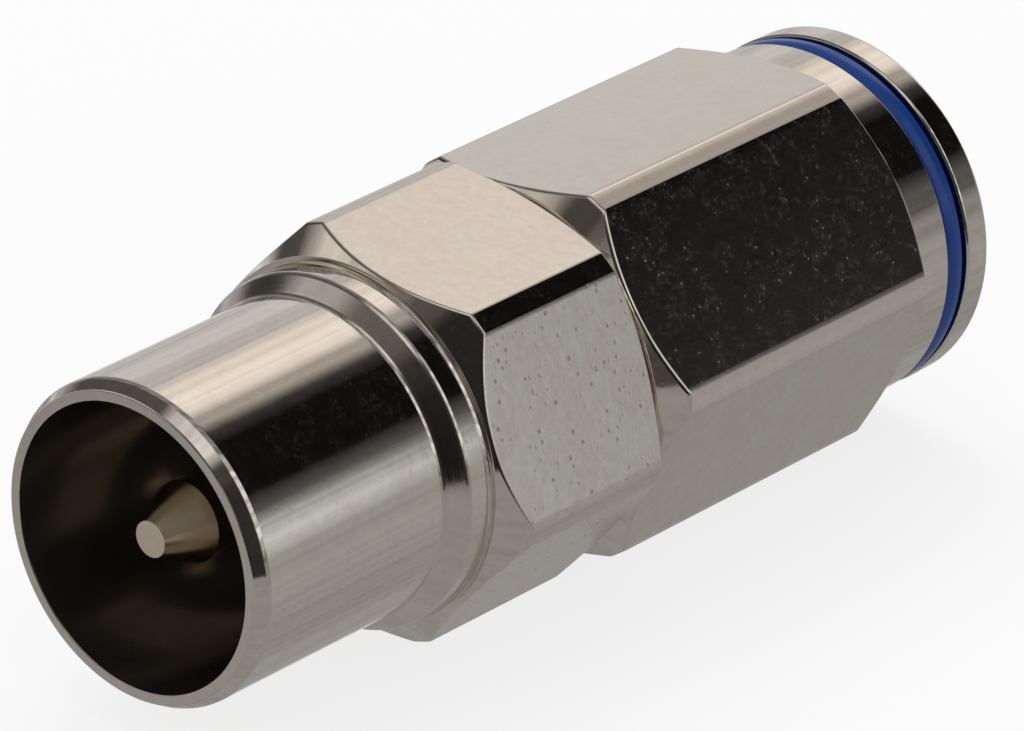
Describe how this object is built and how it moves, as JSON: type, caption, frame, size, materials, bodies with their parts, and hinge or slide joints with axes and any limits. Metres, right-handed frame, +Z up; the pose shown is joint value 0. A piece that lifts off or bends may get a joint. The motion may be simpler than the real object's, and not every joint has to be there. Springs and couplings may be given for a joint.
{
  "type": "iec coaxial plug",
  "caption": "Straight male coaxial aerial plug with a barrel round a centre pin, a hexagonal body and a hexagonal screw-on clamp sleeve with a coloured ring.",
  "frame": {"origin": "centre of the barrel's open mouth, on the plug's axis", "axes": "+Y along the plug's axis from the mouth to the cable inlet, +Z up with the plug lying on its side, on a corner of each hexagon"},
  "size_m": [0.0124, 0.0303, 0.0116],
  "materials": {
    "nickel_plate": "bright nickel plate on turned brass",
    "pin_plate": "bright nickel plate on turned brass",
    "insulator_plastic": "black moulded plastic",
    "seal_rubber": "black rubber",
    "clamp_plastic": "white moulded plastic",
    "blue_plastic": "satin blue plastic"
  },
  "bodies": {
    "plug_body": {"front_body": "nickel_plate", "centre_pin": "pin_plate", "front_insulator": "insulator_plastic", "rear_insulator": "insulator_plastic", "mandrel": "nickel_plate", "body_seal": "seal_rubber"},
    "ring_carrier": {"clamp_ring": "clamp_plastic"},
    "screw_sleeve": {"clamp_sleeve": "nickel_plate", "colour_ring": "blue_plastic"}
  },
  "joints": [
    {"name": "ring_travel", "type": "slide", "parent": "plug_body", "child": "ring_carrier", "axis": [0, 1, 0], "range_m": [0, 0.00451]},
    {"name": "sleeve_turn", "type": "hinge", "parent": "ring_carrier", "child": "screw_sleeve", "pos_m": [0, 0.022, 0], "axis": [0, 1, 0], "range_deg": [0, 2160]}
  ],
  "couplings": [
    {"joint": "ring_travel", "follows": "sleeve_turn", "m_per_rad": 0.00011937}
  ]
}
